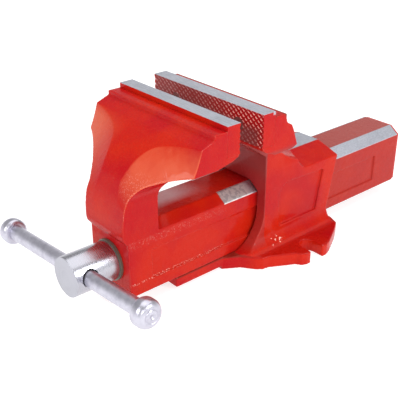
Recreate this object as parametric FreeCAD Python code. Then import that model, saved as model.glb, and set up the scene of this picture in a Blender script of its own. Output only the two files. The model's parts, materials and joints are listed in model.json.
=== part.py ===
import FreeCAD, Part

# Bench vise with a fixed base, a hollow square slide and 150 mm jaws. Millimetres.
# X runs along the jaws, +Y from the operator to the rear, +Z up. The origin is on the base's underside,
# midway between the two bolt slots. At rest the jaws stand REST_OPENING apart.

import math
import os

V = FreeCAD.Vector
X_AXIS = V(1, 0, 0)
Y_AXIS = V(0, 1, 0)
Z_AXIS = V(0, 0, 1)

# jaws
JAW_HALF = 75.0
JAW_TOP = 173.0
REAR_FACE_Y = -81.5
REST_OPENING = 26.5
FRONT_FACE_Y = REAR_FACE_Y - REST_OPENING
PLATE_THICK = 14.4
REAR_PLATE_TALL = 31.0
FRONT_PLATE_TALL = 28.0
PLATE_SCREW_X = 43.0
PLATE_SCREW_DOWN = 17.5
SCREW_R = 4.0
SCREW_HEAD_R = 6.5
SCREW_HEAD_TALL = 3.5
SCREW_SINK = 1.0
SCREW_LONG = 25.0
HEX_KEY_R = 2.9
HEX_KEY_DEEP = 3.0

# slide: one casting with the front jaw, an upturned channel over the nut
SLIDE_HALF = 29.0
SLIDE_BOTTOM = 14.0
SLIDE_TOP = 79.3
SLIDE_FRONT_Y = -193.0
SLIDE_REAR_Y = 186.0
CHAMFER_X = 11.0
CHAMFER_Z = 8.0
CHAMFER_FROM_Y = -82.4
CAST_CHAMFER_X = 10.2
CAST_CHAMFER_Z = 7.4
THROAT_BACK = -52.0
HOLLOW_HALF = 19.0
HOLLOW_TOP = 68.0
FRONT_WALL = 15.0
PANEL_LOW = 25.5
PANEL_HIGH = 55.0
PANEL_FRONT_Y = -168.0
PANEL_REAR_Y = 147.0
PANEL_DEEP = 1.8
COVER_THICK = 3.0
COVER_GAP = 1.0

# fixed body
CHEEK_HALF = 41.0
BODY_FRONT_Y = -40.0
BODY_REAR_Y = 65.0
BODY_REAR_LOW_Y = 54.0
TUNNEL_GAP = 0.6
FLOOR_GAP = 0.3
FLANGE_TALL = 13.0
SKIRT_R = 15.0
CHEEK_R = 40.0
ANVIL_TOP = 93.0
ANVIL_FLAT_HALF = 14.0
SHOULDER_Z = 84.5
NECK_FOOT_Y = 24.0
NECK_FOOT_SIDE_Y = 9.0
TONGUE_FRONT_Y = -141.0
TONGUE_BOTTOM = 3.0
POCKET_DEEP = 2.5
SLOT_HALF = 8.5
SLOT_END_X = 64.5
FLANGE_OUT_X = 77.0

# screw, nut and handle
SPINDLE_Z = 42.0
SCREW_MAJOR_R = 13.0
THREAD_PITCH = 5.0
THREAD_DEEP = 2.75
THREAD_FRONT_Y = -158.0
THREAD_TURNS = 65
HEAD_R = 18.8
THRUST_WASHER_R = 19.8
HEAD_FRONT_Y = -240.0
HEAD_REAR_Y = -195.8
HEAD_EDGE = 0.7
CROSS_HOLE_R = 8.3
CROSS_HOLE_LIFT = 0.5
RUN_FIT = 0.05
FACE_GAP = 0.3
BUSH_R = 16.0
BUSH_FLANGE_R = 17.5
BUSH_FLANGE = 2.5
COLLAR_R = 17.0
COLLAR_LONG = 12.0
PIN_R = 2.5
END_WASHER_R = 15.0
END_WASHER = 4.0
END_SCREW_R = 4.0
END_SCREW_HEAD_R = 6.5
END_SCREW_HEAD = 5.0
END_SCREW_DEEP = 18.0
NUT_HALF = 17.0
NUT_TOP = 62.0
NUT_FRONT_Y = -19.0
NUT_REAR_Y = 41.0
NUT_BOLT_Y = (-11.0, 33.0)
NUT_BOLT_R = 5.0
NUT_BOLT_TIP = 26.0
BOLT_HEAD_R = 8.0
BOLT_HEAD_TALL = 5.0
BOLT_WASHER_R = 9.0
BOLT_WASHER = 1.5
COUNTERBORE_R = 9.5
COUNTERBORE_DEEP = 7.5
BAR_Y = -226.0
BAR_R = 7.5
BAR_TILT_DEG = 5.35
BAR_LEFT = 123.5
BAR_RIGHT = 97.5
KNOB_R = 12.8
KNOB_IN = 7.0
KNOB_OUT = 8.5
KNOB_BORE_PAST = 4.0

THROUGH = 300.0


def edges_of(place, start, steps):
    """Edges of a path: each step is a point for a line, or (mid, end) for an arc through mid."""
    edges = []
    here = start
    for step in steps:
        if isinstance(step[0], tuple):
            middle, end = step
            edges.append(Part.Arc(place(here), place(middle), place(end)).toShape())
        else:
            end = step
            edges.append(Part.LineSegment(place(here), place(end)).toShape())
        here = end
    return edges


def prism(place, direction, start, steps):
    """A closed outline in a plane, pushed along a direction. The last step is the line back to start."""
    edges = edges_of(place, start, [*steps, start])
    return Part.Face(Part.Wire(edges)).extrude(direction)


def along_x(start, steps, half):
    """A prism of a (y, z) outline, half to each side of the middle plane."""
    return prism(lambda p: V(-half, p[0], p[1]), V(2 * half, 0, 0), start, steps)


def along_y(start, steps, front, rear):
    """A prism of an (x, z) outline from y = front to y = rear."""
    return prism(lambda p: V(p[0], front, p[1]), V(0, rear - front, 0), start, steps)


def along_z(start, steps, low, high):
    """A prism of an (x, y) outline from z = low to z = high."""
    return prism(lambda p: V(p[0], p[1], low), V(0, 0, high - low), start, steps)


def box(x0, x1, y0, y1, z0, z1):
    return Part.makeBox(x1 - x0, y1 - y0, z1 - z0, V(x0, y0, z0))


def rod(radius, start, end):
    """A cylinder from one point to another."""
    path = end.sub(start)
    return Part.makeCylinder(radius, path.Length, start, path)


def fuse(first, *others):
    return first.fuse(list(others)).removeSplitter()


def mirror(shape):
    return shape.mirror(V(0, 0, 0), X_AXIS)


def both_sides(shape):
    return [shape, mirror(shape)]


def mirrored_steps(half):
    """The left half of an outline whose right half is given front to rear, in the order that closes it."""
    left = []
    for step in reversed(half):
        left.append((-step[0], step[1]))
    return left


def from_jaw(face_y, back, down):
    """A (y, z) point given from the top edge of a jaw's gripping face; back is along +Y."""
    return (face_y + back, JAW_TOP - down)


# ---------------------------------------------------------------- jaw plates and their screws


def jaw_screw(x, face_y, down, into):
    """Countersunk screw in a jaw plate; into is +1 for the rear jaw and -1 for the front jaw."""
    z = JAW_TOP - down
    head_y = face_y + into * SCREW_SINK
    neck_y = head_y + into * SCREW_HEAD_TALL
    tip = V(x, face_y + into * SCREW_LONG, z)
    head = Part.makeCone(
        SCREW_HEAD_R, SCREW_R, SCREW_HEAD_TALL, V(x, head_y, z), V(0, into, 0)
    )
    shank = rod(SCREW_R, V(x, neck_y, z), tip)
    socket = rod(HEX_KEY_R, V(x, head_y, z), V(x, head_y + into * HEX_KEY_DEEP, z))
    return fuse(head, shank).cut(socket)


def screw_room(x, face_y, down, into):
    """The hole that a jaw screw fills, with the sink over its head."""
    z = JAW_TOP - down
    head_y = face_y + into * SCREW_SINK
    sink = rod(SCREW_HEAD_R, V(x, face_y, z), V(x, head_y, z))
    head = Part.makeCone(
        SCREW_HEAD_R, SCREW_R, SCREW_HEAD_TALL, V(x, head_y, z), V(0, into, 0)
    )
    shank = rod(SCREW_R, V(x, head_y, z), V(x, face_y + into * SCREW_LONG, z))
    return fuse(sink, head, shank)


def jaw_plate(face_y, tall, into):
    back_y = face_y + into * PLATE_THICK
    low_y, high_y = sorted((face_y, back_y))
    plate = box(-JAW_HALF, JAW_HALF, low_y, high_y, JAW_TOP - tall, JAW_TOP)
    rooms = [
        screw_room(side * PLATE_SCREW_X, face_y, PLATE_SCREW_DOWN, into)
        for side in (-1, 1)
    ]
    return plate.cut(rooms)


# ---------------------------------------------------------------- moving jaw


def head_block():
    """Front jaw seen from its end: plate seat, ledge, convex ramp, lip over the screw's head, throat."""
    y = FRONT_FACE_Y
    start = from_jaw(y, -PLATE_THICK, FRONT_PLATE_TALL)
    steps = [
        from_jaw(y, -PLATE_THICK, 4.5),
        from_jaw(y, -28.0, 4.5),
        from_jaw(y, -28.0, 8.5),
        from_jaw(y, -41.5, 13.5),
        (from_jaw(y, -64.5, 30.5), from_jaw(y, -80.0, 50.0)),
        (from_jaw(y, -86.5, 67.0), from_jaw(y, -90.0, 96.0)),
        from_jaw(y, -89.0, 101.0),
        from_jaw(y, -85.0, 106.0),
        from_jaw(y, THROAT_BACK, 106.0),
        from_jaw(y, THROAT_BACK, 70.0),
        (from_jaw(y, -48.0, 60.0), from_jaw(y, -39.0, 55.0)),
        from_jaw(y, -27.0, 36.5),
        from_jaw(y, -7.2, 32.6),
        from_jaw(y, -0.8, 29.5),
        from_jaw(y, -0.8, FRONT_PLATE_TALL),
    ]
    return along_x(start, steps, JAW_HALF)


def under_head():
    """What is cut away beside the neck under the jaw: its outline sweeps up and out to the jaw's end."""
    outer_x = JAW_HALF + 5.0
    right = along_y(
        (SLIDE_HALF, JAW_TOP - 63.0),
        [
            ((34.0, JAW_TOP - 54.2), (43.0, JAW_TOP - 47.6)),
            ((57.0, JAW_TOP - 41.5), (JAW_HALF, JAW_TOP - 36.2)),
            (outer_x, JAW_TOP - 36.2),
            (outer_x, 0.0),
            (SLIDE_HALF, 0.0),
        ],
        FRONT_FACE_Y - THROUGH,
        FRONT_FACE_Y + 5.0,
    )
    return both_sides(right)


def scoops():
    """The two hollows on the front jaw's front, from the middle of the neck out to the jaw's ends."""
    inner_x = 12.0
    middle_x = 40.0
    outer_x = JAW_HALF + 5.0
    front_y = FRONT_FACE_Y - THROUGH
    # (down, then how far back at the inner end, between, and at the outer end)
    levels = [
        (4.0, -40.5, -39.8, -38.0),
        (16.0, -52.7, -47.9, -41.4),
        (28.0, -65.2, -56.2, -45.2),
        (40.0, -74.6, -65.0, -50.5),
        (52.0, -81.5, -74.2, -59.0),
        (66.0, -86.5, -83.8, -73.0),
        (82.0, -91.5, -91.2, -88.0),
    ]
    wires = []
    for down, near_back, middle_back, far_back in levels:
        z = JAW_TOP - down
        near = V(inner_x, FRONT_FACE_Y + near_back, z)
        middle = V(middle_x, FRONT_FACE_Y + middle_back, z)
        far = V(outer_x, FRONT_FACE_Y + far_back, z)
        edges = [
            Part.Arc(near, middle, far).toShape(),
            Part.LineSegment(far, V(outer_x, front_y, z)).toShape(),
            Part.LineSegment(V(outer_x, front_y, z), V(inner_x, front_y, z)).toShape(),
            Part.LineSegment(V(inner_x, front_y, z), near).toShape(),
        ]
        wires.append(Part.Wire(edges))
    return both_sides(Part.makeLoft(wires, True))


def slide_section(grow, low, chamfer_x, chamfer_z):
    """The slide's outline with chamfered top edges, grown by a gap, as an (x, z) start and steps."""
    half = SLIDE_HALF + grow
    top = SLIDE_TOP + grow
    start = (-half, low)
    steps = [
        (-half, top - chamfer_z),
        (-half + chamfer_x, top),
        (half - chamfer_x, top),
        (half, top - chamfer_z),
        (half, low),
    ]
    return start, steps


def slide_beam():
    neck_rear_y = FRONT_FACE_Y + THROAT_BACK
    front = box(
        -SLIDE_HALF,
        SLIDE_HALF,
        SLIDE_FRONT_Y,
        neck_rear_y,
        SLIDE_BOTTOM,
        SLIDE_TOP,
    )
    start, steps = slide_section(0.0, SLIDE_BOTTOM, CAST_CHAMFER_X, CAST_CHAMFER_Z)
    middle = along_y(start, steps, neck_rear_y, CHAMFER_FROM_Y)
    start, steps = slide_section(0.0, SLIDE_BOTTOM, CHAMFER_X, CHAMFER_Z)
    rear = along_y(start, steps, CHAMFER_FROM_Y, SLIDE_REAR_Y)
    panel = box(
        SLIDE_HALF - PANEL_DEEP,
        SLIDE_HALF + 1.0,
        PANEL_FRONT_Y,
        PANEL_REAR_Y,
        PANEL_LOW,
        PANEL_HIGH,
    )
    return fuse(front, middle, rear).cut(both_sides(panel))


def moving_jaw():
    head = head_block().cut(under_head()).cut(scoops())
    hollow = box(
        -HOLLOW_HALF,
        HOLLOW_HALF,
        SLIDE_FRONT_Y + FRONT_WALL,
        SLIDE_REAR_Y + 1.0,
        SLIDE_BOTTOM - 1.0,
        HOLLOW_TOP,
    )
    bush_hole = rod(
        BUSH_R,
        V(0, SLIDE_FRONT_Y - 20.0, SPINDLE_Z),
        V(0, SLIDE_FRONT_Y + FRONT_WALL + 1.0, SPINDLE_Z),
    )
    rooms = [
        screw_room(side * PLATE_SCREW_X, FRONT_FACE_Y, PLATE_SCREW_DOWN, -1)
        for side in (-1, 1)
    ]
    casting = fuse(head, slide_beam())
    return casting.cut([hollow, bush_hole, *rooms, *cover_screw_holes()])


def cover_screw_points():
    """Where the end cover's four screws sit."""
    reach = (HOLLOW_HALF + SLIDE_HALF) / 2
    points = []
    for x in (-reach, reach):
        for z in (SLIDE_BOTTOM + 8.0, SLIDE_TOP - 16.0):
            points.append((x, z))
    return points


def cover_screw(x, z):
    """A small countersunk screw, flush with the cover."""
    outer_y = SLIDE_REAR_Y + COVER_THICK
    head = Part.makeCone(4.0, 2.0, 2.0, V(x, outer_y, z), V(0, -1, 0))
    shank = rod(2.0, V(x, outer_y - 2.0, z), V(x, SLIDE_REAR_Y - 9.0, z))
    return fuse(head, shank)


def cover_screw_holes():
    return [cover_screw(x, z) for x, z in cover_screw_points()]


def end_cover():
    low = SLIDE_BOTTOM + COVER_GAP
    start, steps = slide_section(-COVER_GAP, low, CHAMFER_X, CHAMFER_Z)
    plate = along_y(start, steps, SLIDE_REAR_Y, SLIDE_REAR_Y + COVER_THICK)
    return plate.cut(cover_screw_holes())


def spindle_bush():
    """Flanged bush in the front wall, its flange on the inside."""
    front = SLIDE_FRONT_Y
    inside = SLIDE_FRONT_Y + FRONT_WALL
    sleeve = rod(BUSH_R, V(0, front, SPINDLE_Z), V(0, inside, SPINDLE_Z))
    flange = rod(
        BUSH_FLANGE_R,
        V(0, inside, SPINDLE_Z),
        V(0, inside + BUSH_FLANGE, SPINDLE_Z),
    )
    bore = rod(
        SCREW_MAJOR_R + RUN_FIT,
        V(0, front - 1.0, SPINDLE_Z),
        V(0, inside + BUSH_FLANGE + 1.0, SPINDLE_Z),
    )
    return fuse(sleeve, flange).cut(bore)


# ---------------------------------------------------------------- fixed body

# right half of the flange's outline from the tongue round to the rear, without the bolt slot
FLANGE_HALF_OUTLINE = [
    (SLIDE_HALF, -84.0),
    (38.5, -68.5),
    (50.8, -59.5),
    (55.3, -54.0),
    (56.5, -47.0),
    (62.7, -36.0),
    (70.0, -22.5),
    (75.0, -19.8),
    (FLANGE_OUT_X, -15.0),
    (FLANGE_OUT_X, 15.0),
    (74.5, 22.0),
    (62.0, 44.5),
    (53.5, 57.0),
    (CHEEK_HALF, 62.0),
]


def flange_prism(low, high):
    right = FLANGE_HALF_OUTLINE
    return along_z(right[0], [*right[1:], *mirrored_steps(right)], low, high)


def bolt_slots():
    """Open slots through the flange, round at the inner end and flared at the mouth."""
    top = FLANGE_TALL + SKIRT_R + 5.0
    end = rod(SLOT_HALF, V(SLOT_END_X, 0, -1.0), V(SLOT_END_X, 0, top))
    straight = box(
        SLOT_END_X, FLANGE_OUT_X + 5.0, -SLOT_HALF, SLOT_HALF, -1.0, top
    )
    return both_sides(fuse(end, straight))


def cheek_profile(low, half):
    """Side view of the cheeks: a block whose front sweeps down and forward to the flange."""
    foot_y = BODY_FRONT_Y - CHEEK_R
    high = FLANGE_TALL + CHEEK_R
    turn = CHEEK_R * math.sqrt(0.5)
    start = (foot_y, low)
    steps = [
        (foot_y, FLANGE_TALL),
        ((foot_y + turn, high - turn), (BODY_FRONT_Y, high)),
        (BODY_REAR_LOW_Y, high),
        (BODY_REAR_LOW_Y, low),
    ]
    return along_x(start, steps, half)


def skirt():
    """The concave fillets that blend the flange into the cheeks, fading out where the cheeks sweep down."""
    turn = SKIRT_R * (1.0 - math.sqrt(0.5))
    edge_x = CHEEK_HALF + SKIRT_R
    high = FLANGE_TALL + SKIRT_R
    right = along_y(
        (CHEEK_HALF - 1.0, FLANGE_TALL - 1.0),
        [
            (edge_x, FLANGE_TALL - 1.0),
            (edge_x, FLANGE_TALL),
            ((CHEEK_HALF + turn, FLANGE_TALL + turn), (CHEEK_HALF, high)),
            (CHEEK_HALF - 1.0, high),
        ],
        -THROUGH,
        THROUGH,
    )
    room = cheek_profile(0.0, edge_x).common(flange_prism(0.0, high))
    return [side.common(room) for side in both_sides(right)]


def lower_body():
    """The block round the slide up to shoulder height; its cheeks sweep forward to the flange."""
    high = FLANGE_TALL + CHEEK_R
    rear_foot = FLANGE_TALL + SKIRT_R
    swept = cheek_profile(0.0, CHEEK_HALF).common(flange_prism(0.0, high))
    upper = along_x(
        (BODY_FRONT_Y, high - 1.0),
        [
            (BODY_FRONT_Y, SHOULDER_Z),
            (BODY_REAR_Y, SHOULDER_Z),
            (BODY_REAR_LOW_Y, rear_foot),
            (BODY_FRONT_Y + 1.0, rear_foot),
        ],
        CHEEK_HALF,
    )
    return fuse(swept, upper)


def anvil():
    """The ground flat behind the jaw, with a shoulder sloping to each side."""
    start = (-CHEEK_HALF, SHOULDER_Z)
    steps = [
        (-ANVIL_FLAT_HALF, ANVIL_TOP),
        (ANVIL_FLAT_HALF, ANVIL_TOP),
        (CHEEK_HALF, SHOULDER_Z),
    ]
    return along_y(start, steps, BODY_FRONT_Y, BODY_REAR_Y)


def rear_neck():
    """From the anvil up to the rear jaw: gusset in front, concave slope behind, its foot turned back."""
    y = REAR_FACE_Y
    start = (BODY_FRONT_Y, SHOULDER_Z - 1.0)
    steps = [
        from_jaw(y, 40.5, 61.0),
        from_jaw(y, 5.5, 36.7),
        from_jaw(y, 44.0, 37.0),
        (from_jaw(y, 66.0, 66.0), (NECK_FOOT_Y, ANVIL_TOP)),
        (NECK_FOOT_Y, SHOULDER_Z - 1.0),
    ]
    neck = along_x(start, steps, CHEEK_HALF)
    # the foot's line runs forward from the flat's corner to the cheek; out is square to it
    line = V(CHEEK_HALF - ANVIL_FLAT_HALF, NECK_FOOT_SIDE_Y - NECK_FOOT_Y, 0)
    line.normalize()
    out = V(-line.y, line.x, 0)
    corner = V(ANVIL_FLAT_HALF, NECK_FOOT_Y, 0)
    room = prism(
        lambda p: corner - line * THROUGH + out * p[0] + V(0, 0, p[1]),
        line * (2 * THROUGH),
        (-THROUGH, 0.0),
        [
            (-THROUGH, JAW_TOP),
            (-5.0, JAW_TOP),
            (-5.0, ANVIL_TOP + 9.0),
            ((-2.2, ANVIL_TOP - 1.5), (5.0, SHOULDER_Z)),
            (5.0, 0.0),
        ],
    )
    return neck.common(room).common(mirror(room))


def rear_head():
    """Rear jaw seen from its end: plate seat, lip and stepped back."""
    y = REAR_FACE_Y
    start = from_jaw(y, 0.8, REAR_PLATE_TALL)
    steps = [
        from_jaw(y, PLATE_THICK, REAR_PLATE_TALL),
        from_jaw(y, PLATE_THICK, 5.5),
        from_jaw(y, 28.8, 5.5),
        from_jaw(y, 28.8, 10.0),
        from_jaw(y, 30.1, 14.0),
        from_jaw(y, 36.2, 17.7),
        from_jaw(y, 38.8, 23.0),
        from_jaw(y, 44.2, 38.4),
        from_jaw(y, 37.5, 41.0),
        from_jaw(y, 17.0, 41.0),
        from_jaw(y, 5.5, 36.7),
        from_jaw(y, 0.8, 33.0),
    ]
    return along_x(start, steps, JAW_HALF)


def side_pocket():
    """The shallow recess in each cheek, straight behind and round at its front top corner."""
    low = 30.0
    high = 76.0
    start = (-18.0, low)
    steps = [
        (-20.0, 62.0),
        ((-16.0, 72.0), (-5.0, high)),
        (44.0, 74.0),
        (36.0, low),
    ]
    right = prism(
        lambda p: V(CHEEK_HALF - POCKET_DEEP, p[0], p[1]),
        V(POCKET_DEEP + 1.0, 0, 0),
        start,
        steps,
    )
    return both_sides(right)


def tunnel():
    """The room the slide runs in, open to the front over the tongue."""
    low = SLIDE_BOTTOM - FLOOR_GAP
    start, steps = slide_section(TUNNEL_GAP, low, CHAMFER_X, CHAMFER_Z)
    return along_y(start, steps, TONGUE_FRONT_Y - 10.0, BODY_REAR_Y + 20.0)


def nut_bolt_holes():
    holes = []
    for y in NUT_BOLT_Y:
        holes.append(rod(NUT_BOLT_R, V(0, y, -1.0), V(0, y, SLIDE_BOTTOM)))
        holes.append(rod(COUNTERBORE_R, V(0, y, -1.0), V(0, y, COUNTERBORE_DEEP)))
    return holes


def static_body():
    tongue = box(
        -SLIDE_HALF,
        SLIDE_HALF,
        TONGUE_FRONT_Y,
        BODY_FRONT_Y,
        TONGUE_BOTTOM,
        SLIDE_BOTTOM - FLOOR_GAP,
    )
    casting = fuse(
        flange_prism(0.0, FLANGE_TALL),
        tongue,
        *skirt(),
        lower_body(),
        anvil(),
        rear_neck(),
        rear_head(),
    )
    rooms = [
        screw_room(side * PLATE_SCREW_X, REAR_FACE_Y, PLATE_SCREW_DOWN, 1)
        for side in (-1, 1)
    ]
    cuts = [tunnel(), *bolt_slots(), *side_pocket(), *nut_bolt_holes(), *rooms]
    return casting.cut(cuts)


def spindle_nut():
    floor = SLIDE_BOTTOM - FLOOR_GAP
    block = box(-NUT_HALF, NUT_HALF, NUT_FRONT_Y, NUT_REAR_Y, floor, NUT_TOP)
    bore = rod(
        SCREW_MAJOR_R + RUN_FIT,
        V(0, NUT_FRONT_Y - 1.0, SPINDLE_Z),
        V(0, NUT_REAR_Y + 1.0, SPINDLE_Z),
    )
    holes = [
        rod(NUT_BOLT_R, V(0, y, floor - 1.0), V(0, y, NUT_BOLT_TIP)) for y in NUT_BOLT_Y
    ]
    return block.cut([bore, *holes])


def nut_bolts():
    bolts = []
    seat = COUNTERBORE_DEEP - BOLT_WASHER
    for y in NUT_BOLT_Y:
        head = rod(BOLT_HEAD_R, V(0, y, seat - BOLT_HEAD_TALL), V(0, y, seat))
        socket = rod(
            NUT_BOLT_R * 0.8, V(0, y, seat - BOLT_HEAD_TALL), V(0, y, seat - 2.0)
        )
        shank = rod(NUT_BOLT_R, V(0, y, seat), V(0, y, NUT_BOLT_TIP))
        bolts.append(fuse(head, shank).cut(socket))
    return Part.makeCompound(bolts)


def nut_washers():
    washers = []
    seat = COUNTERBORE_DEEP
    for y in NUT_BOLT_Y:
        disc = rod(BOLT_WASHER_R, V(0, y, seat - BOLT_WASHER), V(0, y, seat))
        hole = rod(NUT_BOLT_R, V(0, y, 0.0), V(0, y, seat + 1.0))
        washers.append(disc.cut(hole))
    return Part.makeCompound(washers)


# ---------------------------------------------------------------- screw and handle


def bar_direction():
    tilt = math.radians(BAR_TILT_DEG)
    return V(math.cos(tilt), 0, math.sin(tilt))


def bar_point(along):
    """A point on the tommy bar's axis, measured from the screw's axis towards +X."""
    return V(0, BAR_Y, SPINDLE_Z) + bar_direction() * along


def thread_rear_y():
    return THREAD_FRONT_Y + THREAD_TURNS * THREAD_PITCH


def threaded_rod():
    """The threaded length, its thread as a row of trapezoid rings."""
    crest = THREAD_PITCH * 0.35
    flank = THREAD_PITCH * 0.15
    root_r = SCREW_MAJOR_R - THREAD_DEEP
    y = THREAD_FRONT_Y
    points = [V(0, y, 0), V(root_r, y, 0)]
    for turn in range(THREAD_TURNS):
        y = THREAD_FRONT_Y + turn * THREAD_PITCH
        points.append(V(SCREW_MAJOR_R, y + flank, 0))
        points.append(V(SCREW_MAJOR_R, y + flank + crest, 0))
        points.append(V(root_r, y + flank + crest + flank, 0))
        points.append(V(root_r, y + THREAD_PITCH, 0))
    points.append(V(0, thread_rear_y(), 0))
    points.append(points[0])
    face = Part.Face(Part.makePolygon(points))
    solid = face.revolve(V(0, 0, 0), Y_AXIS, 360)
    solid.translate(V(0, 0, SPINDLE_Z))
    return solid


def end_screw():
    y = thread_rear_y() + END_WASHER
    head = rod(END_SCREW_HEAD_R, V(0, y, SPINDLE_Z), V(0, y + END_SCREW_HEAD, SPINDLE_Z))
    socket = rod(
        END_SCREW_R * 0.75,
        V(0, y + 2.0, SPINDLE_Z),
        V(0, y + END_SCREW_HEAD, SPINDLE_Z),
    )
    shank = rod(
        END_SCREW_R,
        V(0, thread_rear_y() - END_SCREW_DEEP, SPINDLE_Z),
        V(0, y, SPINDLE_Z),
    )
    return fuse(head, shank).cut(socket)


def end_washer():
    y = thread_rear_y()
    disc = rod(END_WASHER_R, V(0, y, SPINDLE_Z), V(0, y + END_WASHER, SPINDLE_Z))
    hole = rod(END_SCREW_R, V(0, y - 1.0, SPINDLE_Z), V(0, y + END_WASHER + 1.0, SPINDLE_Z))
    return disc.cut(hole)


def collar_front_y():
    return SLIDE_FRONT_Y + FRONT_WALL + BUSH_FLANGE + FACE_GAP


def spindle():
    head = rod(HEAD_R, V(0, HEAD_FRONT_Y, SPINDLE_Z), V(0, HEAD_REAR_Y, SPINDLE_Z))
    rims = [edge for edge in head.Edges if edge.Closed]
    head = head.makeChamfer(HEAD_EDGE, rims)
    journal = rod(
        SCREW_MAJOR_R, V(0, HEAD_REAR_Y, SPINDLE_Z), V(0, THREAD_FRONT_Y, SPINDLE_Z)
    )
    lift = V(0, 0, CROSS_HOLE_LIFT)
    cross_hole = rod(
        CROSS_HOLE_R, bar_point(-HEAD_R - 5) + lift, bar_point(HEAD_R + 5) + lift
    )
    tail_hole = rod(
        END_SCREW_R,
        V(0, thread_rear_y() - END_SCREW_DEEP, SPINDLE_Z),
        V(0, thread_rear_y() + 1.0, SPINDLE_Z),
    )
    return fuse(head, journal, threaded_rod()).cut([cross_hole, tail_hole, collar_pin()])


def thrust_washer():
    """The washer between the screw's head and the front wall."""
    rear = SLIDE_FRONT_Y - FACE_GAP
    disc = rod(THRUST_WASHER_R, V(0, HEAD_REAR_Y, SPINDLE_Z), V(0, rear, SPINDLE_Z))
    hole = rod(SCREW_MAJOR_R, V(0, HEAD_REAR_Y - 1, SPINDLE_Z), V(0, rear + 1, SPINDLE_Z))
    return disc.cut(hole)


def collar_pin():
    y = collar_front_y() + COLLAR_LONG / 2
    half = COLLAR_R - 0.5
    return rod(PIN_R, V(0, y, SPINDLE_Z - half), V(0, y, SPINDLE_Z + half))


def retaining_collar():
    front = collar_front_y()
    rear = front + COLLAR_LONG
    ring = rod(COLLAR_R, V(0, front, SPINDLE_Z), V(0, rear, SPINDLE_Z))
    bore = rod(SCREW_MAJOR_R, V(0, front - 1, SPINDLE_Z), V(0, rear + 1, SPINDLE_Z))
    y = front + COLLAR_LONG / 2
    pin_hole = rod(
        PIN_R, V(0, y, SPINDLE_Z - COLLAR_R - 1), V(0, y, SPINDLE_Z + COLLAR_R + 1)
    )
    return ring.cut([bore, pin_hole])


def tommy_bar():
    return rod(
        BAR_R,
        bar_point(-BAR_LEFT - KNOB_BORE_PAST),
        bar_point(BAR_RIGHT + KNOB_BORE_PAST),
    )


def knob(centre, outward):
    """A round-edged button on the bar's end, domed outside with a small dimple in the middle."""

    def place(point):
        radius, along = point
        return V(radius, 0, along)

    start = (BAR_R, -KNOB_IN)
    steps = [
        (KNOB_R - 3.5, -KNOB_IN),
        ((KNOB_R - 1.0, 1.1 - KNOB_IN), (KNOB_R, 3.6 - KNOB_IN)),
        (KNOB_R, 0.5),
        ((KNOB_R - 1.8, KNOB_OUT - 3.3), (KNOB_R - 6.3, KNOB_OUT - 0.7)),
        (2.2, KNOB_OUT),
        (0.0, KNOB_OUT - 1.4),
        (0.0, KNOB_BORE_PAST),
        (BAR_R, KNOB_BORE_PAST),
        start,
    ]
    wire = Part.Wire(edges_of(place, start, steps))
    solid = Part.Face(wire).revolve(V(0, 0, 0), Z_AXIS, 360)
    turn = FreeCAD.Rotation(Z_AXIS, bar_direction() * outward)
    solid.Placement = FreeCAD.Placement(centre, turn)
    return solid


NODES = {
    "static_body": static_body,
    "rear_jaw_plate": lambda: jaw_plate(REAR_FACE_Y, REAR_PLATE_TALL, 1),
    "rear_plate_screw_left": lambda: jaw_screw(
        -PLATE_SCREW_X, REAR_FACE_Y, PLATE_SCREW_DOWN, 1
    ),
    "rear_plate_screw_right": lambda: jaw_screw(
        PLATE_SCREW_X, REAR_FACE_Y, PLATE_SCREW_DOWN, 1
    ),
    "spindle_nut": spindle_nut,
    "nut_bolts": nut_bolts,
    "nut_washers": nut_washers,
    "moving_jaw": moving_jaw,
    "front_jaw_plate": lambda: jaw_plate(FRONT_FACE_Y, FRONT_PLATE_TALL, -1),
    "front_plate_screw_left": lambda: jaw_screw(
        -PLATE_SCREW_X, FRONT_FACE_Y, PLATE_SCREW_DOWN, -1
    ),
    "front_plate_screw_right": lambda: jaw_screw(
        PLATE_SCREW_X, FRONT_FACE_Y, PLATE_SCREW_DOWN, -1
    ),
    "spindle_bush": spindle_bush,
    "slide_end_cover": end_cover,
    "end_cover_screws": lambda: Part.makeCompound(cover_screw_holes()),
    "spindle": spindle,
    "thrust_washer": thrust_washer,
    "retaining_collar": retaining_collar,
    "collar_pin": collar_pin,
    "spindle_end_washer": end_washer,
    "spindle_end_screw": end_screw,
    "tommy_bar": tommy_bar,
    "handle_knob_left": lambda: knob(bar_point(-BAR_LEFT), -1),
    "handle_knob_right": lambda: knob(bar_point(BAR_RIGHT), 1),
}

os.makedirs("parts", exist_ok=True)
for name, make in NODES.items():
    shape = make()
    solids = shape.Solids
    print(name, len(solids), round(shape.Volume), shape.isValid())
    shape.exportStep(f"parts/{name}.step")
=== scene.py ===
import json
import math

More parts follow.
